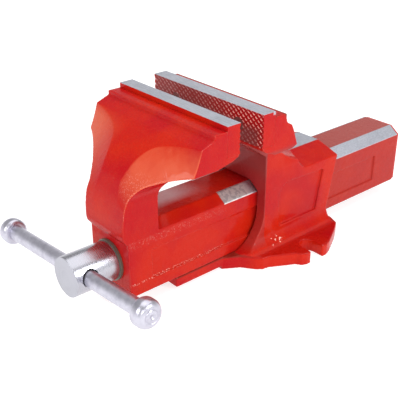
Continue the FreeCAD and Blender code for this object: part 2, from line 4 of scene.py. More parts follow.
import bmesh
import bpy
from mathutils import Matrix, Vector


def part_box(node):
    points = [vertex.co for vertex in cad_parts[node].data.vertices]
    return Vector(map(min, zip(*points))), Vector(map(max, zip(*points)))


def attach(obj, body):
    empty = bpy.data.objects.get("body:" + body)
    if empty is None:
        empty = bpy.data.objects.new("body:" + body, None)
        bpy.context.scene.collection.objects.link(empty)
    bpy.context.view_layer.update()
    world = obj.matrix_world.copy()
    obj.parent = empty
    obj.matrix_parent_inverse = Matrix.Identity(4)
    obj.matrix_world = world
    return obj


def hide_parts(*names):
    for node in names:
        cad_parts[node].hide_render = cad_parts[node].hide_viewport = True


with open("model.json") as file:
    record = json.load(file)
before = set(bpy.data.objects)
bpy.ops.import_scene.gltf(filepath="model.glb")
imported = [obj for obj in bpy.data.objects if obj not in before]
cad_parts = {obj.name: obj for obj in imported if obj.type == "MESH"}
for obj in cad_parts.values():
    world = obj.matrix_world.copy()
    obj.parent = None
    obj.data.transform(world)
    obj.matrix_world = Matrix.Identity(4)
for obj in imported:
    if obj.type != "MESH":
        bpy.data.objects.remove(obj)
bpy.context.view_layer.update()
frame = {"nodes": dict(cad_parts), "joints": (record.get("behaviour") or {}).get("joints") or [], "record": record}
MM = 0.001
NODES = frame["nodes"]
JOINTS = {joint["name"]: joint for joint in frame["joints"]}

# ---------------------------------------------------------------- driving values

CAMERA_AZIMUTH = 49.34
CAMERA_ELEVATION = 27.09
CAMERA_AT = Vector((0.4882, -0.5069, 0.3954))
CAMERA_LENS = 67.5
SENSOR = 36.0

FLOOR_HALF_M = 20.0
FLOOR_GREY = (0.50, 0.50, 0.50, 1)
WHITE = (1.0, 1.0, 1.0, 1)
FLOOR_GLOW = 0.72
HORIZON_STRENGTH = 1.0
OVERHEAD_STRENGTH = 0.45
HORIZON_HEIGHTS = (0.15, 0.35)

# castings: the even mesh and its rounding, in mm and steps
VOXEL = 0.7
SOFT_STEPS = 3
SEAT_REACH = 2.5
FLANGE_ZONE_Z = (1.5, 28.5)
FLANGE_SOFT_STEPS = 14

# jaw plates: the serrations, and marks measured in from a plate's ends, top and gripping face, in mm
TOOTH_WIDE = 6.25
TOOTH_TALL = 4.9
TOOTH_DEEP = 1.0
PLATE_END_BAND = (0.5, 1.1)
# the next two: how far down from the top and in from the +X end the serrations stay lit, beyond which they get
# painted shade
LIT_DOWN = (12.0, 20.0)
LIT_IN = (5.0, 9.0)
CHIP_DEEP = (11.4, 12.0)
CHIP_DOWN = (2.6, 3.2)

# lead screw and its head, in mm; THREAD_STEPS is the corners in one turn
THREAD_PITCH = 5.0
THREAD_FROM_Y = -158.0
THREAD_TURNS = 65
THREAD_STEPS = 48
THREAD_ROOT_R = 10.25
THREAD_FLANK = 0.75
THREAD_CREST = 1.75
JOURNAL_R = 13.0
HEAD_LONG = 44.2
HEAD_R = 18.8
HEAD_RIM = 0.7

# the bar lies on the bottom of its wider hole, so the hole's middle is a little above the screw's axis
CROSS_HOLE_R = 8.3
CROSS_HOLE_LIFT = 0.5
CROSS_HOLE_REACH = 30.0

# a knob: its reach from its middle ring, and the length and height of its two rounds, in mm
KNOB_R = 12.8
KNOB_INWARD = 7.0
KNOB_OUTWARD = 8.5
KNOB_RIM_TO = 0.5
KNOB_INNER_ROUND = (3.6, 3.5)
KNOB_OUTER_ROUND = (7.3, 6.3)

# the slide's chamfers, in mm: how far they come down its sides and in over its top
CHAMFER_DOWN = 8.0
CHAMFER_IN = 11.0
BARE_FROM_Y = -83.4
BARE_RAGGED = 2.0

# Where the paint differs, and where painted highlights, reflections and shade lie, in mm along the frame's axes. A
# pair is where something fades in or out; four values fade it in over the first two and out over the last two.
RIGHT_DISH_X = (8.0, 22.0)
LEFT_DISH_X = (-58.0, -16.0)
DISH_Z = (82.0, 122.0, 152.0, 162.0)
DISH_GLINTS_Z = (112.0, 134.0)
SLIDE_SIDE_X = (25.0, 26.0)
PANEL_LOW_Z = 26.2
PANEL_HIGH_Z = 66.0
PANEL_GLINTS_Y = (-100.0, -70.0)
THROAT_Y = (-161.0, -160.0, -118.0, -84.0)
REFLECTION_X = (-4.0, 9.0)
REAR_Y = (40.0, 60.0)
MOTTLED_Y = (-52.0, -44.0)
ANVIL_HALF = (13.4, 14.0)
ANVIL_Y = (10.0, 12.0)
BODY_FRONT_Y = (-39.6, -39.0)
GUSSET_Z = (80.0, 96.0, 132.0, 137.0)
SWEEP_Z = (16.0, 22.0, 80.0, 96.0)
TONGUE_JOINT_Z = 13.3
TONGUE_Y = (-70.0, -60.0)
FLANGE_EDGE_Z = 13.0
LEDGE_Y = (-56.0, -54.0)
LEDGE_Z = (165.0, 166.0)
FACET_X = (30.0, 33.0)
FACET_Y = -2.0
FACET_Z = 110.0
FACET_HALF = 12.0
GLINTS_Y = -24.0
GLINTS_HALF = 7.0
GLINTS_Z = (14.0, 16.0, 22.0, 25.0)

RED = (0.41, 0.003, 0.006, 1)
RED_DEEP = (0.33, 0.003, 0.004, 1)
RED_WARM = (0.48, 0.012, 0.003, 1)
# orange flecks in the enamel, and the painted sheen in the front jaw's hollows
ORANGE_FLECK_AND_SHEEN = (0.56, 0.085, 0.038, 1)
# painted highlight along the castings' edges
EDGE_HIGHLIGHT = (0.80, 0.26, 0.20, 1)
SHADED_RED = (0.24, 0.045, 0.045, 1)
# a greyer red for the slide's top behind the body, and a duller red for the rest of the slide there
REAR_TOP_RED = (0.33, 0.085, 0.075, 1)
REAR_SLIDE_RED = (0.34, 0.030, 0.022, 1)
# painted reflection on the slide's top in the throat
REFLECTED_GREY = (0.56, 0.40, 0.41, 1)
# painted glints: on the sand grain in the hollows, along the slide panel's edges and at the body's foot
PAINTED_GLINT = (0.90, 0.55, 0.46, 1)
# oil in the tongue joint, and painted shade on the ledge behind the rear plate
OIL_AND_SHADE_DARK = (0.09, 0.035, 0.018, 1)
# serration crests worn bare with a painted highlight, and a browner wear with painted shade outside the lit area
WORN_LIT_CREST_PINK = (0.95, 0.42, 0.36, 1)
WORN_SHADED_BROWN = (0.46, 0.20, 0.19, 1)
SHADED_GROOVE_BROWN = (0.25, 0.032, 0.030, 1)
STEEL = (0.60, 0.61, 0.68, 1)
STEEL_DARK = (0.30, 0.32, 0.36, 1)
PALE_STEEL = (0.78, 0.79, 0.76, 1)
TURNED = (0.47, 0.47, 0.52, 1)
TURNED_DARK = (0.26, 0.27, 0.31, 1)
CHROME = (0.60, 0.59, 0.67, 1)
CHROME_DIM = (0.46, 0.45, 0.53, 1)
IRON = (0.22, 0.22, 0.23, 1)
IRON_DARK = (0.12, 0.12, 0.12, 1)
OXIDE = (0.07, 0.07, 0.08, 1)
OXIDE_DARK = (0.03, 0.03, 0.03, 1)
ZINC = (0.55, 0.56, 0.58, 1)
ZINC_DARK = (0.40, 0.41, 0.43, 1)
BRONZE = (0.62, 0.42, 0.18, 1)
BRONZE_DARK = (0.40, 0.25, 0.10, 1)
PAINTED_SCREW = (0.20, 0.025, 0.020, 1)
PAINTED_SCREW_DARK = (0.07, 0.012, 0.012, 1)
OILY_GREY = (0.24, 0.23, 0.18, 1)
OILY_DARK = (0.10, 0.10, 0.08, 1)

# ---------------------------------------------------------------- camera, light and floor


def add_camera():
    """The photograph's viewpoint, looking to the rear left and down on the vise."""
    data = bpy.data.cameras.new("camera")
    data.lens = CAMERA_LENS
    data.sensor_width = SENSOR
    camera = bpy.data.objects.new("camera", data)
    azimuth = math.radians(CAMERA_AZIMUTH)
    elevation = math.radians(CAMERA_ELEVATION)
    back = Vector(
        (
            math.sin(azimuth) * math.cos(elevation),
            -math.cos(azimuth) * math.cos(elevation),
            math.sin(elevation),
        )
    )
    camera.rotation_euler = back.to_track_quat("Z", "Y").to_euler()
    camera.location = CAMERA_AT
    bpy.context.scene.collection.objects.link(camera)
    bpy.context.scene.camera = camera


def add_softbox(name, at, aim, width, height, watts):
    """A rectangular lamp at one point that faces another, all in metres."""
    data = bpy.data.lights.new(name, "AREA")
    data.shape = "RECTANGLE"
    data.size = width
    data.size_y = height
    data.energy = watts
    lamp = bpy.data.objects.new(name, data)
    lamp.location = at
    lamp.rotation_euler = (Vector(at) - Vector(aim)).to_track_quat("Z", "Y").to_euler()
    bpy.context.scene.collection.objects.link(lamp)


def add_world():
    """A white room that is brighter at the horizon than overhead."""
    world = bpy.data.worlds.new("studio")
    world.use_nodes = True
    tree = world.node_tree
    background = tree.nodes["Background"]
    background.inputs["Color"].default_value = WHITE
    coordinates = tree.nodes.new("ShaderNodeTexCoord")
    direction = tree.nodes.new("ShaderNodeSeparateXYZ")
    height = tree.nodes.new("ShaderNodeMapRange")
    height.inputs["From Min"].default_value = HORIZON_HEIGHTS[0]
    height.inputs["From Max"].default_value = HORIZON_HEIGHTS[1]
    height.inputs["To Min"].default_value = HORIZON_STRENGTH
    height.inputs["To Max"].default_value = OVERHEAD_STRENGTH
    tree.links.new(coordinates.outputs["Generated"], direction.inputs[0])
    tree.links.new(direction.outputs["Z"], height.inputs["Value"])
    tree.links.new(height.outputs["Result"], background.inputs["Strength"])
    bpy.context.scene.world = world


def add_floor():
    """A wide pale floor with a glow of its own, so that it reads as white."""
    mesh = bpy.data.meshes.new("floor")
    half = FLOOR_HALF_M
    corners = [(-half, -half, 0), (half, -half, 0), (half, half, 0), (-half, half, 0)]
    mesh.from_pydata(corners, [], [(0, 1, 2, 3)])
    floor = bpy.data.objects.new("floor", mesh)
    bpy.context.scene.collection.objects.link(floor)
    mat, shader = new_material("pale_floor")
    shader.inputs["Base Color"].default_value = FLOOR_GREY
    shader.inputs["Roughness"].default_value = 0.9
    shader.inputs["Specular IOR Level"].default_value = 0.1
    shader.inputs["Emission Color"].default_value = WHITE
    shader.inputs["Emission Strength"].default_value = FLOOR_GLOW
    mesh.materials.append(mat)


# ---------------------------------------------------------------- node helpers


def new_material(name):
    mat = bpy.data.materials.new(name)
    mat.use_nodes = True
    return mat, mat.node_tree.nodes["Principled BSDF"]


class Maker:
    """Short calls for the nodes of one material."""

    def __init__(self, name):
        self.mat, self.shader = new_material(name)
        self.tree = self.mat.node_tree
        coordinates = self.add("ShaderNodeTexCoord")
        self.place = coordinates.outputs["Object"]

    def add(self, kind, **values):
        node = self.tree.nodes.new(kind)
        for key, value in values.items():
            setattr(node, key, value)
        return node

    def link(self, source, target):
        self.tree.links.new(source, target)

    def put(self, value, socket):
        """Links a socket, or sets a plain value."""
        if isinstance(value, bpy.types.NodeSocket):
            self.link(value, socket)
        else:
            socket.default_value = value

    def math(self, operation, a, b=0.0, c=0.0):
        node = self.add("ShaderNodeMath", operation=operation)
        for value, socket in zip((a, b, c), node.inputs):
            self.put(value, socket)
        return node.outputs[0]

    def times(self, first, *others):
        """The product of masks and shares."""
        product = first
        for other in others:
            product = self.math("MULTIPLY", product, other)
        return product

    def axes(self):
        """The frame's X, Y and Z in metres."""
        node = self.add("ShaderNodeSeparateXYZ")
        self.link(self.place, node.inputs[0])
        return node.outputs["X"], node.outputs["Y"], node.outputs["Z"]

    def scaled(self, scale):
        node = self.add("ShaderNodeMapping")
        self.link(self.place, node.inputs["Vector"])
        node.inputs["Scale"].default_value = scale
        return node.outputs["Vector"]

    def noise(self, size_mm, detail=2.0, roughness=0.5, stretch=(1, 1, 1), place=None):
        """Noise with features about size_mm across, from 0 to 1."""
        node = self.add("ShaderNodeTexNoise")
        if place is None:
            place = self.scaled(stretch)
        self.link(place, node.inputs["Vector"])
        node.inputs["Scale"].default_value = 1.0 / (size_mm * MM)
        node.inputs["Detail"].default_value = detail
        node.inputs["Roughness"].default_value = roughness
        return node.outputs["Fac"]

    def ramp(self, value, low, high, out_low=0.0, out_high=1.0):
        """A straight ramp between two values, level outside them."""
        node = self.add("ShaderNodeMapRange")
        node.clamp = True
        self.put(value, node.inputs["Value"])
        node.inputs["From Min"].default_value = low
        node.inputs["From Max"].default_value = high
        node.inputs["To Min"].default_value = out_low
        node.inputs["To Max"].default_value = out_high
        return node.outputs["Result"]

    def after(self, value, start_mm, full_mm):
        """0 up to start_mm, rising to 1 at full_mm."""
        return self.ramp(value, start_mm * MM, full_mm * MM)

    def before(self, value, last_mm, end_mm):
        """1 up to last_mm, falling to 0 at end_mm."""
        return self.ramp(value, last_mm * MM, end_mm * MM, 1.0, 0.0)

    def band(self, value, start_mm, full_mm, last_mm, end_mm):
        """Fades in over the first two values and out over the last two."""
        return self.times(self.after(value, start_mm, full_mm), self.before(value, last_mm, end_mm))

    def distance(self, value, centre_mm):
        return self.math("ABSOLUTE", self.math("SUBTRACT", value, centre_mm * MM))

    def near(self, value, centre_mm, half_mm):
        """1 where a coordinate is within half_mm of a centre, fading to 0 over the next half of that."""
        return self.before(self.distance(value, centre_mm), half_mm, 1.5 * half_mm)

    def mix(self, factor, a, b):
        node = self.add("ShaderNodeMix", data_type="RGBA")
        self.put(factor, node.inputs[0])
        self.put(a, node.inputs[6])
        self.put(b, node.inputs[7])
        return node.outputs[2]

    def blend(self, factor, a, b):
        node = self.add("ShaderNodeMix", data_type="FLOAT")
        self.put(factor, node.inputs[0])
        self.put(a, node.inputs[2])
        self.put(b, node.inputs[3])
        return node.outputs[0]

    def mixed_normal(self, factor, a, b):
        node = self.add("ShaderNodeMix", data_type="VECTOR")
        self.put(factor, node.inputs[0])
        self.put(a, node.inputs[4])
        self.put(b, node.inputs[5])
        return node.outputs[1]

    def bump(self, height, depth_mm, strength=1.0, under=None):
        node = self.add("ShaderNodeBump")
        node.inputs["Strength"].default_value = strength
        node.inputs["Distance"].default_value = depth_mm * MM
        self.link(height, node.inputs["Height"])
        if under is not None:
            self.link(under, node.inputs["Normal"])
        return node.outputs["Normal"]

    def set(self, **sockets):
        for name, value in sockets.items():
            self.put(value, self.shader.inputs[name.replace("_", " ")])


# ---------------------------------------------------------------- enamel


def enamel_layers(m):
    """Colour, roughness and normal of thick glossy enamel over a sand casting."""
    patches = m.ramp(m.noise(45.0, 3.0), 0.40, 0.62)
    colour = m.mix(patches, RED, RED_WARM)
    specks = m.ramp(m.noise(1.1, 1.0), 0.60, 0.80)
    colour = m.mix(m.times(specks, 0.3), colour, RED_DEEP)
    flecks = m.ramp(m.noise(0.8, 1.0), 0.58, 0.72)
    colour = m.mix(m.times(flecks, 0.28), colour, ORANGE_FLECK_AND_SHEEN)
    roughness = m.ramp(m.noise(9.0, 3.0), 0.3, 0.7, 0.20, 0.34)
    sand = m.noise(1.5, 2.5, 0.65)
    rough_areas = m.ramp(m.noise(30.0, 1.0), 0.45, 0.60, 0.25, 1.0)
    waves = m.bump(m.noise(13.0, 1.5), 0.5, 0.5)
    normal = m.bump(m.times(sand, rough_areas), 0.20, 0.9, waves)
    return colour, roughness, normal


def steel_layers(m, stretch, size=0.5):
    """Colour, roughness and normal of a machined face, its marks stretched along one axis."""
    streaks = m.noise(size, 3.0, 0.6, stretch)
    colour = m.mix(m.ramp(streaks, 0.35, 0.75, 0.0, 0.7), STEEL, STEEL_DARK)
    cloud = m.noise(14.0, 2.0)
    colour = m.mix(m.ramp(cloud, 0.45, 0.75, 0.0, 0.3), colour, STEEL_DARK)
    roughness = m.ramp(streaks, 0.3, 0.7, 0.42, 0.55)
    normal = m.bump(streaks, 0.02, 0.5)
    return colour, roughness, normal


def gloss(m):
    """The constant part of the enamel's shine."""
    m.shader.inputs["Specular IOR Level"].default_value = 0.05
    m.shader.inputs["Coat Weight"].default_value = 0.16
    m.shader.inputs["Coat Roughness"].default_value = 0.05


def finish_mixed(m, mask, enamel, steel):
    """Bare steel where mask is 1, enamel elsewhere."""
    m.set(
        Base_Color=m.mix(mask, enamel[0], steel[0]),
        Metallic=mask,
        Roughness=m.blend(mask, enamel[1], steel[1]),
        Normal=m.mixed_normal(mask, enamel[2], steel[2]),
    )
    gloss(m)


def cover_material():
    """Plain enamel, for the sheet cover at the slide's rear."""
    m = Maker("cover_enamel")
    colour, roughness, normal = enamel_layers(m)
    m.set(Base_Color=colour, Roughness=roughness, Normal=normal)
    gloss(m)
    return m.mat


def edge_painted_highlights(m, colour):
    """A painted highlight along a casting's outer edges, which the fine mesh keeps narrow."""
    pointed = m.add("ShaderNodeNewGeometry").outputs["Pointiness"]
    broken = m.ramp(m.noise(12.0, 2.0), 0.30, 0.60, 0.3, 0.9)
    return m.mix(m.times(m.ramp(pointed, 0.53, 0.60), broken, 0.55), colour, EDGE_HIGHLIGHT)


# ---------------------------------------------------------------- front jaw and slide


def dish_painted_sheen(m, colour, x, z):
    """The front jaw's two hollows: a lighter orange painted sheen, with painted glints on the sand grain near the
    right rim.
    """
    facing = m.add("ShaderNodeSeparateXYZ")
    m.link(m.add("ShaderNodeNewGeometry").outputs["Normal"], facing.inputs[0])
    sideways = m.math("ABSOLUTE", facing.outputs["X"])
    patchy = m.math("MULTIPLY_ADD", m.noise(16.0, 2.0), 0.16, sideways)
    right = m.times(m.ramp(patchy, 0.12, 0.40), m.after(x, *RIGHT_DISH_X))
    left = m.times(m.before(x, *LEFT_DISH_X), 0.9)
    not_end = m.ramp(sideways, 0.75, 0.90, 1.0, 0.0)
    forward = m.ramp(facing.outputs["Y"], -0.62, -0.42, 1.0, 0.0)
    dish_sheen = m.times(m.math("MAXIMUM", left, right), m.band(z, *DISH_Z), forward, not_end)
    # painted sheen in the hollows
    colour = m.mix(dish_sheen, colour, ORANGE_FLECK_AND_SHEEN)
    # painted glints on the sand grain near the right rim
    sand = m.ramp(m.noise(0.9, 1.0, 0.6), 0.58, 0.66)
    height = m.times(m.after(z, *DISH_Z[:2]), m.before(z, *DISH_GLINTS_Z))
    return m.mix(m.times(sand, height, right, forward, not_end, 0.7), colour, PAINTED_GLINT)


def panel_painted_glints(m, colour, x, y, z):
    """Painted glints along the slide panel's edges."""
    high_edge = m.times(m.near(z, PANEL_HIGH_Z, 3.0), 0.22)
    edges = m.math("MAXIMUM", m.near(z, PANEL_LOW_Z, 0.8), high_edge)
    sand = m.ramp(m.noise(1.1, 1.0, 0.6), 0.58, 0.66)
    outside = m.after(x, *SLIDE_SIDE_X)
    ahead = m.before(y, *PANEL_GLINTS_Y)
    return m.mix(m.times(sand, edges, outside, ahead, 0.75), colour, PAINTED_GLINT)


def top_reflection_and_rear_tone(m, colour, x, y, z, top):
    """A painted reflection greys the slide's top in the throat; behind the body the whole slide is a duller red
    and its top greyer.
    """
    upper = m.near(z, top, 0.5)
    # painted reflection of the room on the slide's top in the throat
    throat_reflection = m.times(upper, m.band(y, *THROAT_Y), m.before(x, *REFLECTION_X), 0.9)
    colour = m.mix(throat_reflection, colour, REFLECTED_GREY)
    behind = m.after(y, *REAR_Y)
    colour = m.mix(m.times(behind, 0.6), colour, REAR_SLIDE_RED)
    return m.mix(m.times(upper, behind, 0.75), colour, REAR_TOP_RED)


def chamfer_mask(m, x, y, z, top, half):
    """1 on the slide's two bare chamfers, which start at a ragged line behind the throat."""
    across = m.math("SUBTRACT", m.math("ABSOLUTE", x), half * MM)
    up = m.math("SUBTRACT", z, (top - CHAMFER_DOWN) * MM)
    tilt = math.atan2(CHAMFER_DOWN, CHAMFER_IN)
    from_face = m.math("MULTIPLY_ADD", across, math.sin(tilt), m.times(up, math.cos(tilt)))
    on_face = m.before(m.math("ABSOLUTE", from_face), 0.35, 0.75)
    start = m.math("MULTIPLY_ADD", m.noise(4.0), BARE_RAGGED * MM, BARE_FROM_Y * MM)
    behind = m.after(m.math("SUBTRACT", y, start), -0.3, 0.3)
    above = m.after(z, top - CHAMFER_DOWN - 1.5, top - CHAMFER_DOWN - 0.5)
    return m.times(on_face, behind, above)


def chamfer_steel(m, y):
    """Milled steel, paler and mottled ahead of the body."""
    colour, roughness, normal = steel_layers(m, (1, 0.25, 1), 0.8)
    chatter = m.ramp(m.noise(3.5, 1.0, 0.5, (1, 1, 0.5)), 0.50, 0.56)
    ahead = m.before(y, *MOTTLED_Y)
    colour = m.mix(m.times(ahead, 0.8), colour, PALE_STEEL)
    colour = m.mix(m.times(chatter, ahead, 0.45), colour, STEEL_DARK)
    return colour, roughness, normal


def slide_material():
    """Enamel with the hollows, the rubbed top and the bare chamfers."""
    m = Maker("slide_enamel")
    x, y, z = m.axes()
    # the end cover stands 1 mm inside the slide's outline
    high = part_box("slide_end_cover")[1]
    top = high.z / MM + 1.0
    half = high.x / MM + 1.0
    colour, roughness, normal = enamel_layers(m)
    colour = dish_painted_sheen(m, colour, x, z)
    colour = panel_painted_glints(m, colour, x, y, z)
    colour = top_reflection_and_rear_tone(m, colour, x, y, z, top)
    colour = edge_painted_highlights(m, colour)
    mask = chamfer_mask(m, x, y, z, top, half)
    finish_mixed(m, mask, (colour, roughness, normal), chamfer_steel(m, y))
    return m.mat


# ---------------------------------------------------------------- fixed body


def anvil_mask(m, x, y, z):
    """1 on the bare flat of the anvil."""
    anvil = next(mount for mount in frame["record"]["mounts"] if mount["name"] == "anvil_face")
    level = m.before(m.distance(z, anvil["pos_m"][2] / MM), 0.3, 0.8)
    return m.times(level, m.before(m.math("ABSOLUTE", x), *ANVIL_HALF), m.after(y, *ANVIL_Y))


def body_stains_and_painted_shade(m, colour, y, z):
    """Grime in the joint over the tongue, and painted shade on the ledge behind the plate and on the front face.
    """
    joint = m.times(m.near(z, TONGUE_JOINT_Z, 0.9), m.before(y, *TONGUE_Y), 0.85)
    colour = m.mix(joint, colour, OIL_AND_SHADE_DARK)
    # painted shade on the front face, over the gusset and the sweep
    front = m.before(y, *BODY_FRONT_Y)
    colour = m.mix(m.times(front, m.band(z, *GUSSET_Z), 0.8), colour, SHADED_RED)
    colour = m.mix(m.times(front, m.band(z, *SWEEP_Z), 0.4), colour, SHADED_RED)
    colour = m.mix(m.times(m.near(z, FLANGE_EDGE_Z, 1.0), 0.5), colour, RED_DEEP)
    # painted shade along the ledge behind the rear plate
    ledge = m.times(m.after(z, *LEDGE_Z), m.after(y, *LEDGE_Y), 0.7)
    return m.mix(ledge, colour, OIL_AND_SHADE_DARK)


def foot_painted_glints(m, colour, y, z):
    """Small painted glints where the body meets its flange."""
    foot = m.times(m.band(z, *GLINTS_Z), m.near(y, GLINTS_Y, GLINTS_HALF))
    glint_specks = m.ramp(m.noise(3.6, 1.0), 0.66, 0.70)
    return m.mix(m.times(glint_specks, foot, 0.8), colour, PAINTED_GLINT)


def body_material():
    """Enamel with the bare anvil flat, stains, painted shade, painted glints at the foot and one rougher facet
    under the rear jaw.
    """
    m = Maker("body_enamel")
    x, y, z = m.axes()
    colour, roughness, normal = enamel_layers(m)
    colour = body_stains_and_painted_shade(m, colour, y, z)
    colour = edge_painted_highlights(m, colour)
    colour = foot_painted_glints(m, colour, y, z)
    facet = m.times(m.near(y, FACET_Y, FACET_HALF), m.near(z, FACET_Z, FACET_HALF))
    roughness = m.blend(m.times(facet, m.after(x, *FACET_X)), roughness, 0.8)
    mask = anvil_mask(m, x, y, z)
    finish_mixed(m, mask, (colour, roughness, normal), steel_layers(m, (0.1, 1, 1)))
    return m.mat


# ---------------------------------------------------------------- jaw plate paint


def stroke(m, a, b, low, high):
    """1 along the crest lines where a + b is odd, fading between low and high of the way down."""
    phase = m.math("FLOORED_MODULO", m.math("ADD", a, b), 2.0)
    away = m.math("ABSOLUTE", m.math("SUBTRACT", phase, 1.0))
    return m.ramp(away, low, high, 1.0, 0.0)


def crest_wear_and_highlight(m, x, z, node):
    """1 on the worn crests of a plate's serrations, in slanting strokes that also stand for a painted highlight.
    """
    low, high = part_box(node)
    columns, rows = tooth_counts(node)
    a = m.times(m.math("SUBTRACT", x, low.x), columns / (high.x - low.x))
    b = m.times(m.math("SUBTRACT", z, low.z), rows / (high.z - low.z))
    along = stroke(m, a, b, 0.16, 0.42)
    across = stroke(m, a, m.times(b, -1.0), 0.50, 0.80)
    wear = m.ramp(m.noise(9.0, 2.0), 0.30, 0.55, 0.35, 1.0)
    return m.times(along, across, wear)


def jaw_plate_material(node, into):
    """Ground top, painted ends and back, and painted serrations with their crests worn bare in strokes and a
    painted highlight; on the -X half, and below the top band of the +X half except near its end, the serrations
    are browner, worn and with painted shade.
    """
    m = Maker(f"{node}_steel")
    x, y, z = m.axes()
    low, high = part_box(node)
    face_y = low.y if into > 0 else high.y
    deep = m.times(m.math("SUBTRACT", y, face_y), into)
    down = m.math("SUBTRACT", high.z, z)
    inset = m.math("SUBTRACT", high.x, m.math("ABSOLUTE", x))
    toothed = m.before(deep, TOOTH_DEEP + 0.3, TOOTH_DEEP + 0.5)
    on_face = m.times(toothed, m.after(inset, *PLATE_END_BAND))
    tip = m.times(crest_wear_and_highlight(m, x, z, node), on_face)
    # where the serrations are lit: the +X half, near its top or its end; elsewhere they get painted shade
    lit_end = m.ramp(m.math("MULTIPLY_ADD", m.noise(18.0, 2.0), 0.03, x), 0.0, 0.06)
    edge = m.before(m.math("SUBTRACT", high.x, x), *LIT_IN)
    lit_area = m.times(lit_end, m.math("MAXIMUM", m.before(down, *LIT_DOWN), edge))
    groove = m.mix(lit_area, SHADED_GROOVE_BROWN, RED_DEEP)
    crest = m.mix(lit_area, WORN_SHADED_BROWN, WORN_LIT_CREST_PINK)
    enamel = enamel_layers(m)
    steel = steel_layers(m, (0.08, 1, 1), 0.6)
    colour = m.mix(on_face, enamel[0], m.mix(tip, groove, crest))
    top = m.before(down, 0.10, 0.25)
    if into > 0:
        chipped = m.times(m.after(deep, *CHIP_DEEP), m.before(down, *CHIP_DOWN), 0.8)
        top = m.math("MAXIMUM", top, chipped)
    bare = m.math("MAXIMUM", top, m.times(tip, 0.25))
    m.set(
        Base_Color=m.mix(top, colour, steel[0]),
        Metallic=bare,
        Roughness=m.blend(bare, enamel[1], steel[1]),
        Normal=m.mixed_normal(top, enamel[2], steel[2]),
    )
    gloss(m)
    return m.mat


# ---------------------------------------------------------------- plain metals


def machined(name, base, dark, rough, stretch=(1, 1, 1), size=0.5, metallic=1.0):
    """A plain machined or plated metal with its tool marks stretched along one axis."""
    m = Maker(name)
    streaks = m.noise(size, 3.0, 0.6, stretch)
    m.set(
        Base_Color=m.mix(m.ramp(streaks, 0.35, 0.75), base, dark),
        Roughness=m.ramp(m.noise(size * 3, 2.0, 0.5, stretch), 0.3, 0.7, *rough),
        Normal=m.bump(streaks, 0.015, 0.4),
    )
    m.shader.inputs["Metallic"].default_value = metallic
    return m.mat


def turned_material(name, base, dark):
    """Turned steel about the screw's axis: rings along Y on the round, concentric rings on the ends."""
    m = Maker(name)
    low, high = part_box("spindle")
    x, y, z = m.axes()
    up = m.math("SUBTRACT", z, (low.z + high.z) / 2)
    radius = m.math("SQRT", m.math("ADD", m.times(x, x), m.times(up, up)))
    rings = m.add("ShaderNodeCombineXYZ")
    m.link(radius, rings.inputs[0])
    m.link(y, rings.inputs[1])
    streaks = m.ramp(m.noise(1.4, 3.0, place=rings.outputs[0]), 0.3, 0.7)
    face = m.ramp(y, low.y + 0.1 * MM, low.y + 0.5 * MM, 1.0, 0.0)
    cloud = m.ramp(m.noise(16.0, 2.0), 0.4, 0.7, 0.0, 0.25)
    m.set(
        Base_Color=m.mix(m.times(streaks, cloud), base, dark),
        Roughness=m.blend(face, m.ramp(streaks, 0.0, 1.0, 0.25, 0.29), 0.45),
        Normal=m.bump(streaks, 0.003, 0.5),
    )
    m.shader.inputs["Metallic"].default_value = 1.0
    return m.mat


# ---------------------------------------------------------------- mesh helpers


def add_object(name, mesh, body, node):
    """A piece of the object in place of a CAD node."""
    piece = bpy.data.objects.new(name, mesh)
    bpy.context.scene.collection.objects.link(piece)
    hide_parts(node)
    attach(piece, body)
    return piece


def apply_modifiers(piece):
    """Makes the modified shape the piece's own mesh."""
    graph = bpy.context.evaluated_depsgraph_get()
    mesh = bpy.data.meshes.new_from_object(piece.evaluated_get(graph))
    piece.modifiers.clear()
    piece.data = mesh


def smooth_by_angle(mesh, degrees):
    mesh.shade_smooth()
    mesh.set_sharp_from_angle(angle=math.radians(degrees))


def spare_object(name, mesh):
    """An object that only shapes another one."""
    helper = bpy.data.objects.new(name, mesh)
    bpy.context.scene.collection.objects.link(helper)
    return helper


def boolean(piece, helper, operation):
    modifier = piece.modifiers.new(operation.lower(), "BOOLEAN")
    modifier.operation = operation
    modifier.solver = "EXACT"
    modifier.object = helper
    apply_modifiers(piece)
    bpy.data.objects.remove(helper)


def lathe(profile, start, direction, steps):
    """A solid of revolution: profile is (along, radius) in mm from start, its ends on the axis."""
    bm = bmesh.new()
    turn = direction.to_track_quat("Z", "Y")
    rings = []
    for along, radius in profile:
        if radius == 0.0:
            rings.append([bm.verts.new(start + turn @ Vector((0, 0, along * MM)))])
            continue
        ring = []
        for k in range(steps):
            angle = 2 * math.pi * k / steps
            point = Vector((radius * math.cos(angle), radius * math.sin(angle), along)) * MM
            ring.append(bm.verts.new(start + turn @ point))
        rings.append(ring)
    for near, far in zip(rings, rings[1:]):
        for k in range(steps):
            after = (k + 1) % steps
            near_pair = [near[k % len(near)], near[after % len(near)]]
            far_pair = [far[after % len(far)], far[k % len(far)]]
            unique = list(dict.fromkeys(near_pair + far_pair))
            bm.faces.new(unique)
    bmesh.ops.recalc_face_normals(bm, faces=bm.faces)
    mesh = bpy.data.meshes.new("turned")
    bm.to_mesh(mesh)
    bm.free()
    return mesh


def arc_points(centre_along, centre_radius, size_along, size_radius, first_deg, last_deg, count):
    """Points of an elliptic arc in a lathe profile; 0 degrees points along the axis."""
    points = []
    for k in range(count + 1):
        angle = math.radians(first_deg + (last_deg - first_deg) * k / count)
        points.append(
            (
                centre_along + size_along * math.cos(angle),
                centre_radius + size_radius * math.sin(angle),
            )
        )
    return points


# ---------------------------------------------------------------- castings


